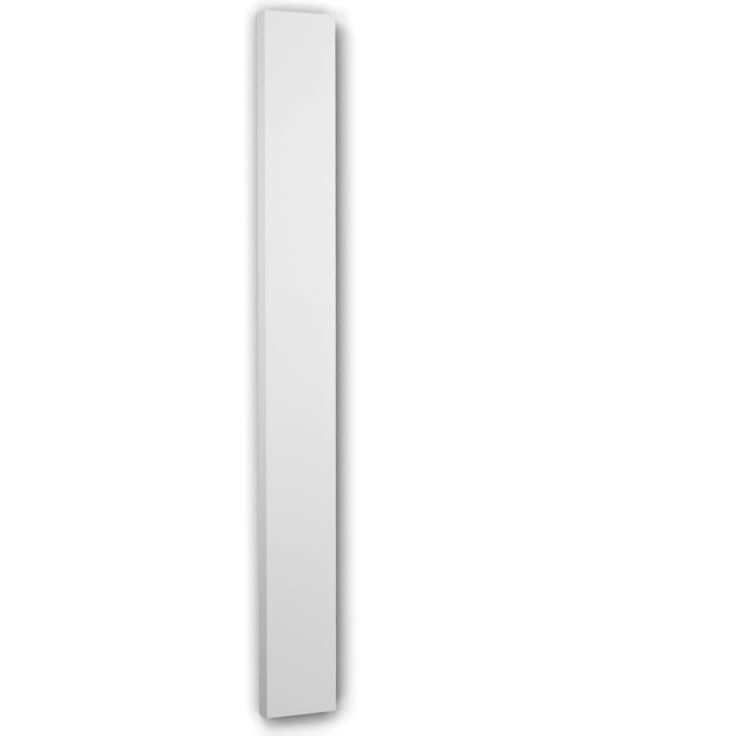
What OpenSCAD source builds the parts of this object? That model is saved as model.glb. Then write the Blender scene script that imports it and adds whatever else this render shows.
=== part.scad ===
// Plain pilaster shaft: a long flat board moulded in one piece, fixed with its
// back to a wall. Its front face is smooth, with no flutes or sunk panel. Its
// two long front arrises are eased, and both ends are cut square, so that a
// base, a capital or the next length closes up against them.
//
// The frame: +Z runs up the shaft, -Y points away from the wall, and the
// origin is the centre of the back face, which is the face that is glued.

/* [Shaft] */
// Length of the shaft, from its foot to its top
shaft_length = 2000; // [500:10:3000]
// Width of the front face, from side to side
shaft_width = 215; // [80:1:400]
// Depth of the shaft, from the wall to its front face
shaft_depth = 60; // [20:1:120]

/* [Arrises] */
// Radius of the two long front arrises
arris_radius = 1.5; // [0.5:0.1:8]

/* [Hidden] */

// Number of sides that a preview draws a full circle with
arc_sides = 64;
// Distance from the centre line to a side
half_width = shaft_width / 2;
// Distance from the centre line to the centre of an arris
arris_x = half_width - arris_radius;
// Distance from the wall to the centre of an arris
arris_y = shaft_depth - arris_radius;

// A rectangle from the centre line out to a given reach, standing off the wall
// by a given depth.
module block(reach, depth) {
    translate([0, -depth])
        square([reach, depth]);
}

// One half of the shaft's section, as seen from above: a square corner at the
// wall and a quarter round at the front arris.
module half_section() {
    block(half_width, arris_y);
    block(arris_x, shaft_depth);
    translate([arris_x, -arris_y])
        circle(r = arris_radius, $fn = arc_sides);
}

// The whole section, the same on both sides of the centre line.
module section() {
    half_section();
    mirror([1, 0])
        half_section();
}

// The whole shaft: its section run along the length, level at both ends.
module shaft() {
    color("whitesmoke")
        translate([0, 0, -shaft_length / 2])
            linear_extrude(height = shaft_length)
                section();
}

shaft();
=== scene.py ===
# %% [markdown]
# # A plain pilaster shaft
#
# A pilaster is a flat column that stands a little proud of a wall. It has a
# base, a shaft and a capital, and this object is the shaft alone: one long
# board of rigid polyurethane foam, cast in a mould, sprayed with white primer
# in the factory and glued to the wall by its back.
#
# A plain white board is harder to draw well than it looks, because there is
# no ornament to hide behind. What tells the eye that it is real is small: the
# arrises are eased and rubbed, the skin wanders by a tenth of a millimetre,
# the primer has a faint orange peel, and the back and the ends are bare foam.

# %% Load the CAD frame
import math

import bpy
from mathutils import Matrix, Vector, noise


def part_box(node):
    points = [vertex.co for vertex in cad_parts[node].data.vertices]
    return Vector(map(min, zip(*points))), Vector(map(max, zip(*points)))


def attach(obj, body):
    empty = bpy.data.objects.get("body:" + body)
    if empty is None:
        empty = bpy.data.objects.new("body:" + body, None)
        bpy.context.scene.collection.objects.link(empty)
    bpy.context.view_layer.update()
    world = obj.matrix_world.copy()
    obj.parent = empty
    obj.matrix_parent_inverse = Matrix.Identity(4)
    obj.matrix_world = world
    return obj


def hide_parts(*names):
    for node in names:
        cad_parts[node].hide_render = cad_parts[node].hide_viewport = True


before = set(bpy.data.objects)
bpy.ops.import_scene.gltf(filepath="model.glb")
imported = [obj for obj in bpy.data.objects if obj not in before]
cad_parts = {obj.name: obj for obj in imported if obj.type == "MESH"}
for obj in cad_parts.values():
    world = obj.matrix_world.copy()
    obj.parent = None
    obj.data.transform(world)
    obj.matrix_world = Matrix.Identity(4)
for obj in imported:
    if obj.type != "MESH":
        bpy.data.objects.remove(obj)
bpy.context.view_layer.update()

# %% [markdown]
# ## What the frame says
#
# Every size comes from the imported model, in metres. The shaft's box gives the
# length, width and depth. The radius of the long front arrises isn't a number
# in the frame, but the flat part of the front face stops where each arris
# starts, so the widest point that still lies on the front plane gives it.

# %% Read the sizes
MM = 0.001
TOUCHING = 0.01 * MM
low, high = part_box("shaft")
half_width = (high.x - low.x) / 2
half_length = (high.z - low.z) / 2
depth = high.y - low.y
half_depth = depth / 2
middle = (low + high) / 2

cad_points = [v.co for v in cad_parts["shaft"].data.vertices]
on_front = [p for p in cad_points if p.y - low.y < TOUCHING]
arris_radius = high.x - max(p.x for p in on_front)
print(f"shaft {2 * half_length:.3f} x {2 * half_width:.3f} x {depth:.3f} m, arris {arris_radius / MM:.2f} mm")

# %% [markdown]
# ## The camera
#
# The camera stands to the left of the shaft and a little above its middle, so
# that the front face and a thin strip of the left return show. A long lens
# from nearly five metres keeps the long edges almost parallel, and turning
# the whole camera, with no lens shift, puts the shaft left of the centre.
# Blender measures a lens and its sensor in millimetres.

# %% Place the camera
CAMERA_LEFT = 1.781
CAMERA_BACK = 4.464
CAMERA_UP = 0.248
TURNED_RIGHT = math.radians(24.315)
TILTED_DOWN = math.radians(3.014)
SENSOR_WIDTH = 36.0
FOCAL_LENGTH = 81.72

lens = bpy.data.cameras.new("studio_camera")
lens.sensor_width = SENSOR_WIDTH
lens.lens = FOCAL_LENGTH
camera = bpy.data.objects.new("studio_camera", lens)
camera.location = (-CAMERA_LEFT, -CAMERA_BACK, CAMERA_UP)
camera.rotation_euler = (math.pi / 2 - TILTED_DOWN, 0, -TURNED_RIGHT)
bpy.context.scene.collection.objects.link(camera)
bpy.context.scene.camera = camera
print(f"camera {camera.location.length:.2f} m from the shaft's back, {FOCAL_LENGTH} mm lens")

# %% [markdown]
# ## The shaft's section
#
# Seen from above, the shaft is a rectangle with a quarter round at each front
# corner. It could be cut with a bevel modifier, but a long loft is wanted
# later, so the outline is walked round once as a list of points: left return,
# left arris, front, right arris, right return, back. Each point also says
# which finish the strip after it has.
#
# A flat face that meets a round is shaded well only if a narrow strip holds
# the corner, so every flat starts and ends with one.

# %% Walk round the section
GRID = 6 * MM
HOLD = 0.4 * MM
ARC_STEPS = 8
PRIMER, ARRIS, BACK_FOAM, SKIN_RIM, SAWN_FOAM = range(5)


def flat(start, end, finish):
    """Points from start up to, but not including, end, with a narrow strip at both ends."""
    run = (end - start).length
    steps = max(1, round((run - 2 * HOLD) / GRID))
    inner = [HOLD + (run - 2 * HOLD) * i / steps for i in range(steps + 1)]
    way = (end - start) / run
    return [(start + way * s, finish) for s in [0.0, *inner]]


def arris(centre, first_turn):
    """A quarter round from first_turn on, without its last point."""
    turns = [first_turn + math.pi / 2 * i / ARC_STEPS for i in range(ARC_STEPS)]
    return [(centre + arris_radius * Vector((math.cos(t), math.sin(t))), ARRIS) for t in turns]


def walk_section():
    """The whole outline, anticlockwise from the left edge of the back."""
    x, y = half_width, low.y
    r = arris_radius
    return [
        *flat(Vector((-x, high.y)), Vector((-x, y + r)), PRIMER),
        *arris(Vector((-x + r, y + r)), math.pi),
        *flat(Vector((-x + r, y)), Vector((x - r, y)), PRIMER),
        *arris(Vector((x - r, y + r)), 1.5 * math.pi),
        *flat(Vector((x, y + r)), Vector((x, high.y)), PRIMER),
        *flat(Vector((x, high.y)), Vector((-x, high.y)), BACK_FOAM),
    ]


outline = walk_section()
print(len(outline), "points round the section")

# %% [markdown]
# ## The loft
#
# The real skin is cast against a mould, and it cures a little uneven: under a
# straightedge, the face wanders by a tenth or two of a millimetre. That is too
# little to see as a shape, but it bends the reflections of the lamps, and a
# face without it looks computed.
#
# A displacement in the material wouldn't reach the exported mesh, so the
# wander is put in the geometry: the section is repeated every few millimetres
# along the length, and each point sinks inwards by a smooth noise with a long
# and a short wave. It fades to nothing at the back, which is planed flat, so
# the shaft still beds on its wall.
#
# The ends are cut square, and the cut's edge is rubbed down by half a
# millimetre. Inside it, a rim 2 mm wide is the dense skin that forms against
# the mould, and the rest is the foam's core.

# %% Shape the ends and the skin
STATION = 8 * MM
END_RADIUS = 0.5 * MM
END_STEPS = 4
SKIN = 2 * MM
WANDER = 0.22 * MM
LONG_WAVE = 0.32
LONG_SHARE = 0.4
SHORT_WAVE = 0.09
SHORT_SHARE = 0.1
SHORT_SHIFT = Vector((7, 7, 7))
BACK_FADE = 12 * MM


def shrink(point, inset):
    """The point moved towards the section's middle, so that all four sides come in by inset."""
    return Vector((
        point.x * (1 - inset / half_width),
        middle.y + (point.y - middle.y) * (1 - inset / half_depth),
    ))


def sink(x, y, z):
    """How far the cured skin lies under the true face at this place."""
    place = Vector((x, y, z))
    long_wave = noise.noise(place / LONG_WAVE)
    short_wave = noise.noise(place / SHORT_WAVE + SHORT_SHIFT)
    share = 0.5 + LONG_SHARE * long_wave + SHORT_SHARE * short_wave
    fade = min(1.0, (high.y - y) / BACK_FADE)
    return WANDER * share * fade


def stations():
    """(height, inset) of every section, from the foot's cut to the top's cut."""
    turns = [math.pi / 2 * i / END_STEPS for i in range(END_STEPS + 1)]
    foot = [(END_RADIUS * (1 - math.sin(t)), END_RADIUS * (1 - math.cos(t))) for t in reversed(turns)]
    run = 2 * half_length - 2 * (END_RADIUS + HOLD)
    steps = round(run / STATION)
    body = [(END_RADIUS + HOLD + run * i / steps, 0.0) for i in range(steps + 1)]
    top = [(2 * half_length - rise, inset) for rise, inset in reversed(foot)]
    return [(low.z + rise, inset) for rise, inset in [*foot, *body, *top]]


levels = stations()
print(len(levels), "sections along the length")

# %% The faces between the sections
def section(z, inset):
    """One section's points: the outline at height z, drawn in by the inset and the skin's wander."""
    drawn_in = [shrink(p, inset + sink(p.x, p.y, z)) for p, _ in outline]
    return [(p.x, p.y, z) for p in drawn_in]


def long_sides():
    """The faces between each section and the next, and the finish of each."""
    count = len(outline)
    sides, side_finishes = [], []
    for level in range(len(levels) - 1):
        lower, upper = level * count, (level + 1) * count
        for i in range(count):
            j = (i + 1) % count
            sides.append((lower + i, lower + j, upper + j, upper + i))
            side_finishes.append(outline[i][1])
    return sides, side_finishes


def cut_end(edge, rim, order):
    """A ring of skin between the points from edge on and those from rim on, and the core inside it."""
    count = len(outline)
    cut = []
    for i in range(count):
        j = (i + 1) % count
        ring = (edge + i, edge + j, rim + j, rim + i)
        cut.append(ring[::order])
    core = tuple(range(rim, rim + count))
    return [*cut, core[::order]], [SKIN_RIM] * count + [SAWN_FOAM]


points = [point for z, inset in levels for point in section(z, inset)]
faces, finishes = long_sides()
print(len(points), "points and", len(faces), "faces along the sides")

# %% Close the ends
# A face looks towards the side from which its points run anticlockwise. The
# section was walked anticlockwise as seen from above, so the foot, which looks
# down, lists its points backwards.
BACKWARDS, FORWARDS = -1, 1
FOOT, TOP = 0, len(levels) - 1

for level, order in ((FOOT, BACKWARDS), (TOP, FORWARDS)):
    end_faces, end_finishes = cut_end(level * len(outline), len(points), order)
    faces += end_faces
    finishes += end_finishes
    inner = [shrink(p, SKIN) for p, _ in outline]
    points += [(p.x, p.y, levels[level][0]) for p in inner]
print(len(faces), "faces with the ends")

# %% Make the board
SHARP = math.radians(40)

mesh = bpy.data.meshes.new("shaft_board")
mesh.from_pydata(points, [], faces)
mesh.polygons.foreach_set("material_index", finishes)
mesh.polygons.foreach_set("use_smooth", [True] * len(faces))
mesh.set_sharp_from_angle(angle=SHARP)
mesh.validate()
board = bpy.data.objects.new("shaft_board", mesh)
bpy.context.scene.collection.objects.link(board)
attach(board, "root")
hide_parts("shaft")
print(f"shaft_board: {len(mesh.vertices)} vertices, {len(mesh.polygons)} faces")

# %% [markdown]
# ## Helpers for the finishes
#
# Paint and foam colours are easiest to pick as the hex codes of a paint card,
# which are sRGB. Blender works in linear light, so one function turns them.
# Another adds a node with its settings and its links in a single call. A
# third measures how far a point lies from the nearest edge of a face, because
# paint drifts in from the edges and foam is densest along them.

# %% Helpers
def colour(code):
    """An sRGB hex code as linear RGBA."""
    parts = [int(code[i:i + 2], 16) / 255 for i in (1, 3, 5)]
    linear = [p / 12.92 if p <= 0.04045 else ((p + 0.055) / 1.055) ** 2.4 for p in parts]
    return (*linear, 1.0)


def add(tree, kind, inputs, **settings):
    """A new node: settings are its properties, inputs its values or the sockets that feed it."""
    node = tree.nodes.new("ShaderNode" + kind)
    for name, value in settings.items():
        setattr(node, name, value)
    for name, value in inputs.items():
        if isinstance(value, bpy.types.NodeSocket):
            tree.links.new(value, node.inputs[name])
        else:
            node.inputs[name].default_value = value
    return node


def new_material(name):
    """An empty node material and its tree."""
    material = bpy.data.materials.new(name)
    material.use_nodes = True
    material.node_tree.nodes.clear()
    return material, material.node_tree


def from_edge(tree, place, spans):
    """The distance to the nearest edge of a rectangle; spans lists (axis, its middle, its half)."""
    axes = add(tree, "SeparateXYZ", {"Vector": place})
    nearest = None
    for axis, centre, half in spans:
        off_centre = add(tree, "Math", {0: axes.outputs[axis], 1: centre}, operation="SUBTRACT")
        size = add(tree, "Math", {0: off_centre.outputs[0]}, operation="ABSOLUTE")
        left_over = add(tree, "Math", {0: half, 1: size.outputs[0]}, operation="SUBTRACT").outputs[0]
        if nearest is not None:
            left_over = add(tree, "Math", {0: nearest, 1: left_over}, operation="MINIMUM").outputs[0]
        nearest = left_over
    return nearest


# A Mix node has its sockets once each for numbers, vectors and colours, so the
# colour ones are picked by number.
FACTOR, COLOUR_A, COLOUR_B, MIXED = 0, 6, 7, 2
print("sRGB mid grey in linear light:", round(colour("#808080")[0], 3))

# %% [markdown]
# ## The primer
#
# The front, both returns and the arrises carry the factory's water-based
# acrylic primer, sprayed white over the moulded skin. It dries satin matte
# with three marks of the gun: a faint orange peel, slow patches where one
# pass of the fan overlapped the next, and slight changes of sheen where the
# coat is thicker. Acrylic has an IOR of about 1.49.
#
# The arrises are eased with a fine pad after spraying. That rubs the coat
# there smoother, so each arris draws a thin light line down the shaft. It is
# the same paint with a lower roughness.
#
# The real orange peel is about 1.5 mm from crest to crest and 0.01 mm high.
# That is finer than a picture of the whole shaft can hold, so it is drawn
# four times as coarse.

# %% Sprayed acrylic primer
PRIMER_WHITE = "#ebebeb"
THIN_COAT = "#e9e9e9"
THICK_COAT = "#ededed"
SPRAYED_ROUGHNESS = (0.48, 0.56)
RUBBED_ROUGHNESS = (0.28, 0.34)
ACRYLIC_IOR = 1.49
PEEL = 6 * MM
PEEL_HEIGHT = 0.03 * MM
FAN_PATCH = 0.28
SHEEN_PATCH = 0.05


def acrylic_primer(name, smoothest, roughest):
    """Sprayed white paint whose roughness wanders between two values."""
    material, tree = new_material(name)
    place = add(tree, "TexCoord", {}).outputs["Object"]
    fan = add(tree, "TexNoise", {"Vector": place, "Scale": 1 / FAN_PATCH, "Detail": 2.0})
    tone = add(tree, "Mix", {
        FACTOR: fan.outputs["Fac"],
        COLOUR_A: colour(THIN_COAT),
        COLOUR_B: colour(THICK_COAT),
    }, data_type="RGBA")
    patch = add(tree, "TexNoise", {"Vector": place, "Scale": 1 / SHEEN_PATCH, "Detail": 3.0})
    sheen = add(tree, "MapRange", {"Value": patch.outputs["Fac"], "To Min": smoothest, "To Max": roughest})
    peel = add(tree, "TexNoise", {"Vector": place, "Scale": 1 / PEEL, "Detail": 1.0})
    bump = add(tree, "Bump", {"Height": peel.outputs["Fac"], "Distance": PEEL_HEIGHT})
    shader = add(tree, "BsdfPrincipled", {
        "Base Color": tone.outputs[MIXED],
        "Roughness": sheen.outputs["Result"],
        "Normal": bump.outputs["Normal"],
        "IOR": ACRYLIC_IOR,
    })
    add(tree, "OutputMaterial", {"Surface": shader.outputs[0]})
    return material


primer = acrylic_primer("sprayed_acrylic_primer", *SPRAYED_ROUGHNESS)
arris_primer = acrylic_primer("rubbed_primer_arris", *RUBBED_ROUGHNESS)
print("finishes:", primer.name, arris_primer.name)

# %% [markdown]
# ## The back
# Each open bubble is painted darker than the foam: painted shade in its hollow.
#
# The back is glued to the wall and nobody sees it, so it is bare foam, planed
# to thickness. The planer leaves long fine lines up the shaft, and it opens a
# few gas bubbles, about 2 mm across. The bubbles are spread through the whole
# foam, one to each cube of 16 mm, and only those that the plane meets show.
# Some primer drifts round the edges and whitens them for about a centimetre.
#
# Planer lines are a millimetre or so apart, and are drawn at 4 mm.

# %% Planed foam
PLANER_LINE = 4 * MM
PLANER_RUN = 0.5
PLANER_HEIGHT = 0.08 * MM
BUBBLE_SPACING = 16 * MM
BUBBLE_RADIUS = 1.2 * MM
BUBBLE_DEPTH = 0.5 * MM
DRIFT = 14 * MM
DRIFT_COVER = 0.9
PLANED_TONES = ("#dfdad1", "#eae6df")
BUBBLE_SHADE = "#a8a299"
PLANED_ROUGHNESS = 0.8
FOAM_IOR = 1.5


def planed_foam():
    """Bare foam with planer lines, cut bubbles painted darker as shade in their hollows, and primer round its
    edges.
    """
    material, tree = new_material("planed_foam_back")
    place = add(tree, "TexCoord", {}).outputs["Object"]
    stretch = add(tree, "Mapping", {
        "Vector": place,
        "Scale": (1 / PLANER_LINE, 1 / PLANER_LINE, 1 / PLANER_RUN),
    })
    lines = add(tree, "TexNoise", {"Vector": stretch.outputs["Vector"], "Scale": 1.0, "Detail": 3.0})
    foam = add(tree, "Mix", {
        FACTOR: lines.outputs["Fac"],
        COLOUR_A: colour(PLANED_TONES[0]),
        COLOUR_B: colour(PLANED_TONES[1]),
    }, data_type="RGBA")
    bubbles = add(tree, "TexVoronoi", {"Vector": place, "Scale": 1 / BUBBLE_SPACING})
    pit = add(tree, "MapRange", {
        "Value": bubbles.outputs["Distance"],
        "From Min": 0.5 * BUBBLE_RADIUS / BUBBLE_SPACING,
        "From Max": BUBBLE_RADIUS / BUBBLE_SPACING,
    })
    # The open bubbles take BUBBLE_SHADE, painted shade in their hollows.
    bubble_shaded = add(tree, "Mix", {
        FACTOR: pit.outputs["Result"],
        COLOUR_A: colour(BUBBLE_SHADE),
        COLOUR_B: foam.outputs[MIXED],
    }, data_type="RGBA")
    to_edge = from_edge(tree, place, [("X", middle.x, half_width), ("Z", middle.z, half_length)])
    cloud = add(tree, "TexNoise", {"Vector": place, "Scale": 1 / (2 * DRIFT), "Detail": 4.0})
    reach = add(tree, "Math", {0: cloud.outputs["Fac"], 1: 2 * DRIFT}, operation="MULTIPLY")
    drift = add(tree, "MapRange", {
        "Value": to_edge,
        "From Max": reach.outputs[0],
        "To Min": DRIFT_COVER,
        "To Max": 0.0,
    }, interpolation_type="SMOOTHSTEP")
    edged = add(tree, "Mix", {
        FACTOR: drift.outputs["Result"],
        COLOUR_A: bubble_shaded.outputs[MIXED],
        COLOUR_B: colour(PRIMER_WHITE),
    }, data_type="RGBA")
    line_bump = add(tree, "Bump", {"Height": lines.outputs["Fac"], "Distance": PLANER_HEIGHT})
    bump = add(tree, "Bump", {
        "Height": pit.outputs["Result"],
        "Distance": BUBBLE_DEPTH,
        "Normal": line_bump.outputs["Normal"],
    })
    shader = add(tree, "BsdfPrincipled", {
        "Base Color": edged.outputs[MIXED],
        "Normal": bump.outputs["Normal"],
        "Roughness": PLANED_ROUGHNESS,
        "IOR": FOAM_IOR,
    })
    add(tree, "OutputMaterial", {"Surface": shader.outputs[0]})
    return material


back_foam = planed_foam()
print("finish:", back_foam.name)

# %% [markdown]
# ## The sawn ends
# Part of the cut's darker tone is painted shade: the middle of each cut cell is painted darker than its
# walls.
#
# The ends are cut square with a fine saw. The cut shows how such a moulding
# is made: a hard rim, nearly white, where the foam was pressed against the
# mould, then foam that gets creamier and more open for a centimetre inwards,
# and a core of tiny closed cells. The blade leaves shallow lines across the
# depth.
#
# Real cells are 0.3 mm wide and are drawn at 1.2 mm, and the saw lines, which
# are 1 mm apart, at 5 mm. Blender's wave texture repeats every 2 pi / 20 units
# at a scale of 1, and WAVE_TURN holds that length.

# %% Sawn foam and its rim
CELL = 1.2 * MM
SAW_LINE = 5 * MM
WAVE_TURN = 2 * math.pi / 20
DENSE_DEPTH = 11 * MM
DENSE_WHITE = "#ecebe8"
SAWN_ROUGHNESS = 0.85


def sawn_foam(name, pale, cell_shade, cell_depth, saw_depth):
    """Cut foam that is whitest at the edge. pale is the tone between its cells, and the darker tone inside
    them is painted shade.
    """
    material, tree = new_material(name)
    place = add(tree, "TexCoord", {}).outputs["Object"]
    cells = add(tree, "TexVoronoi", {"Vector": place, "Scale": 1 / CELL})
    # Each cell is darker in its middle: painted shade in the cut cell's hollow.
    tone = add(tree, "Mix", {
        FACTOR: cells.outputs["Distance"],
        COLOUR_A: colour(cell_shade),
        COLOUR_B: colour(pale),
    }, data_type="RGBA")
    to_edge = from_edge(tree, place, [("X", middle.x, half_width), ("Y", middle.y, half_depth)])
    dense = add(tree, "MapRange", {
        "Value": to_edge,
        "From Max": DENSE_DEPTH,
        "To Min": 1.0,
        "To Max": 0.0,
    }, interpolation_type="SMOOTHSTEP")
    skinned = add(tree, "Mix", {
        FACTOR: dense.outputs["Result"],
        COLOUR_A: tone.outputs[MIXED],
        COLOUR_B: colour(DENSE_WHITE),
    }, data_type="RGBA")
    saw = add(tree, "TexWave", {
        "Vector": place,
        "Scale": WAVE_TURN / SAW_LINE,
        "Distortion": 1.5,
        "Detail": 2.0,
    }, bands_direction="X")
    saw_bump = add(tree, "Bump", {"Height": saw.outputs["Fac"], "Distance": saw_depth})
    bump = add(tree, "Bump", {
        "Height": cells.outputs["Distance"],
        "Distance": cell_depth,
        "Normal": saw_bump.outputs["Normal"],
    })
    shader = add(tree, "BsdfPrincipled", {
        "Base Color": skinned.outputs[MIXED],
        "Normal": bump.outputs["Normal"],
        "Roughness": SAWN_ROUGHNESS,
        "IOR": FOAM_IOR,
    })
    add(tree, "OutputMaterial", {"Surface": shader.outputs[0]})
    return material


skin_rim = sawn_foam(
    "dense_foam_skin",
    pale=DENSE_WHITE,
    cell_shade="#e5e3df",
    cell_depth=0.05 * MM,
    saw_depth=0.03 * MM,
)
core_foam = sawn_foam(
    "sawn_foam_core",
    pale="#eae5db",
    cell_shade="#d8d1c4",
    cell_depth=0.25 * MM,
    saw_depth=0.1 * MM,
)
for material in (primer, arris_primer, back_foam, skin_rim, core_foam):
    mesh.materials.append(material)
print("finishes on the board:", [m.name for m in mesh.materials])

# %% [markdown]
# ## The studio
#
# The shaft hangs where it is used, flat against a white wall, over a pale
# floor. Both are stage and no part of the object. They have to be seen from
# the front only, or the wall would hide the shaft's back from a camera behind
# it, so their paint is clear on the far side.
#
# White on white is the hard part. A catalogue picture lights the wall and the
# object apart, so that the wall goes fully white while the object keeps its
# greys. Here each lamp is linked to what it may light, and neither the stage
# nor the shaft throws light on the other, so the settings don't disturb each
# other.
#
# Where two things meet, the crack between them stays dark under any lamp. So
# shade is painted into the wall's colour within a few centimetres of the shaft:
# Blender's Ambient Occlusion node says how much of the air in front of a point
# is open, and the paint goes grey where little of it is.

# %% Wall and floor
WALL_GAP = 1 * MM
WALL_REACH = 3.2
WALL_TOP = 2.4
FLOOR_DROP = 0.3
FLOOR_REACH = 40.0
STAGE_WHITE = "#f4f4f4"
# The grey of the shade painted into the wall where it meets the shaft.
PAINTED_SHADE_GREY = "#646464"
CONTACT_REACH = 49 * MM
CONTACT_RAYS = 4
floor_height = low.z - FLOOR_DROP


def stage_plane(name, corners, material):
    """A single stage face that lamps light, but that throws no light on the object."""
    plane_mesh = bpy.data.meshes.new(name)
    plane_mesh.from_pydata(corners, [], [(0, 1, 2, 3)])
    plane_mesh.materials.append(material)
    plane = bpy.data.objects.new(name, plane_mesh)
    bpy.context.scene.collection.objects.link(plane)
    plane.visible_diffuse = False
    plane.visible_glossy = False
    plane.visible_shadow = False
    return plane


def clear_from_behind(tree, shader):
    """Joins a stage shader to the output, so that it is seen from its front only."""
    clear = add(tree, "BsdfTransparent", {})
    side = add(tree, "NewGeometry", {}).outputs["Backfacing"]
    seen = add(tree, "MixShader", {0: side, 1: shader.outputs[0], 2: clear.outputs[0]})
    add(tree, "OutputMaterial", {"Surface": seen.outputs[0]})


def floor_paint():
    """Plain white, seen from above only."""
    material, tree = new_material("floor_paint")
    clear_from_behind(tree, add(tree, "BsdfDiffuse", {"Color": colour(STAGE_WHITE)}))
    return material


def wall_paint_and_shade():
    """White, with shade painted in near the shaft."""
    material, tree = new_material("wall_paint_and_shade")
    open_air = add(tree, "AmbientOcclusion", {"Distance": CONTACT_REACH}, samples=CONTACT_RAYS)
    # Painted contact shade: the wall's colour goes grey where the shaft closes off the air in front of it.
    tone = add(tree, "Mix", {
        FACTOR: open_air.outputs["AO"],
        COLOUR_A: colour(PAINTED_SHADE_GREY),
        COLOUR_B: colour(STAGE_WHITE),
    }, data_type="RGBA")
    clear_from_behind(tree, add(tree, "BsdfDiffuse", {"Color": tone.outputs[MIXED]}))
    return material


wall_y = high.y + WALL_GAP
wall = stage_plane("studio_wall", [
    (-WALL_REACH, wall_y, floor_height),
    (WALL_REACH, wall_y, floor_height),
    (WALL_REACH, wall_y, WALL_TOP),
    (-WALL_REACH, wall_y, WALL_TOP),
], wall_paint_and_shade())
floor = stage_plane("studio_floor", [
    (-FLOOR_REACH, -FLOOR_REACH, floor_height),
    (FLOOR_REACH, -FLOOR_REACH, floor_height),
    (FLOOR_REACH, FLOOR_REACH, floor_height),
    (-FLOOR_REACH, FLOOR_REACH, floor_height),
], floor_paint())
print("stage:", wall.name, floor.name)

# %% [markdown]
# ## The lamps
#
# Two square softboxes light the shaft. The stronger one stands in front and
# to the right, and gives the front face its long fall from light to darker
# towards the foot. The weaker one stands close on the left, and models the
# left return. Three soft suns fill what the softboxes miss: the back, the top
# and the underside. They throw no highlights.
#
# The wall has five wide suns of its own. The key, from the left, throws the
# soft shade to the right of the shaft. The upper and the high one throw the
# shade below it, and the low and the under one open that up again and give
# the faint shade above. Together they light the open wall fully white. The
# floor gets one more, from nearly straight above.
#
# The shaft is kept out of the wall's diffuse rays, so that it throws no light
# there. Such a ray would also pass through the shaft to a sun behind it. Each
# sun is therefore found by shadow rays alone, which the shaft does stop, and
# that is what switching its multiple importance sampling off does.

# %% Link groups
def light_group(name, *members):
    """A collection that lamps can be linked to."""
    group = bpy.data.collections.new(name)
    for member in members:
        group.objects.link(member)
    return group


board.visible_diffuse = False
for_shaft = light_group("lit_by_object_lamps", board)
for_wall = light_group("lit_by_wall_lamps", wall)
for_floor = light_group("lit_by_floor_lamps", floor)
print("light groups:", for_shaft.name, for_wall.name, for_floor.name)

# %% Lamps
BOX_SIDE = 1.2
AIM_HEIGHT = 0.2
AIM = Vector((0, middle.y, AIM_HEIGHT))


def add_lamp(name, kind, group, direction, power):
    """A lamp that shines along direction on one group, unseen by the camera."""
    data = bpy.data.lights.new(name, kind)
    data.energy = power
    lamp = bpy.data.objects.new(name, data)
    lamp.rotation_euler = direction.to_track_quat("-Z", "Y").to_euler()
    lamp.light_linking.receiver_collection = group
    lamp.visible_camera = False
    bpy.context.scene.collection.objects.link(lamp)
    return lamp


def softbox(name, place, watts):
    """A square softbox that faces the shaft."""
    lamp = add_lamp(name, "AREA", for_shaft, AIM - Vector(place), watts)
    lamp.location = place
    lamp.data.shape = "SQUARE"
    lamp.data.size = BOX_SIDE
    return lamp


def soft_sun(name, group, left, up, spread, strength, highlights=True):
    """A far lamp. left and up are degrees from straight in front, and spread is its width."""
    a, e = math.radians(left), math.radians(up)
    towards = Vector((math.sin(a) * math.cos(e), math.cos(a) * math.cos(e), -math.sin(e)))
    lamp = add_lamp(name, "SUN", group, towards, strength)
    lamp.data.angle = math.radians(spread)
    lamp.data.cycles.use_multiple_importance_sampling = False
    lamp.visible_glossy = highlights
    return lamp


lamps = [
    softbox("left_softbox", (-1.86, -0.47, 0.44), 29),
    softbox("right_softbox", (3.22, -4.17, 0.66), 245),
    soft_sun("back_fill", for_shaft, 188, 35, 30, 3.0, highlights=False),
    soft_sun("top_fill", for_shaft, 0, 90, 20, 1.1, highlights=False),
    soft_sun("under_fill", for_shaft, 0, -90, 20, 1.2, highlights=False),
    soft_sun("wall_key", for_wall, 48, 20, 30, 2.16),
    soft_sun("wall_upper", for_wall, 29, 38, 17, 0.94),
    soft_sun("wall_high", for_wall, 7, 57, 50, 1.5),
    soft_sun("wall_low", for_wall, 49, -17, 16, 0.91),
    soft_sun("wall_under", for_wall, 4, -42, 21, 0.21),
    soft_sun("floor_wash", for_floor, 20, 75, 60, 3.4),
]
print("lamps:", [lamp.name for lamp in lamps])

# %% [markdown]
# ## The air
#
# Beyond the wall and floor everything is the floor's own pale tone, so that
# no horizon shows. This background is seen and reflected, but it doesn't
# light matt surfaces: that is the lamps' work. The view transform is
# Standard, which keeps a white wall white.

# %% Background
AIR = "#f9f9f9"

world = bpy.data.worlds.new("white_studio")
world.use_nodes = True
world.node_tree.nodes["Background"].inputs["Color"].default_value = colour(AIR)
world.cycles_visibility.diffuse = False
bpy.context.scene.world = world
bpy.context.scene.view_settings.view_transform = "Standard"
print("world:", world.name)
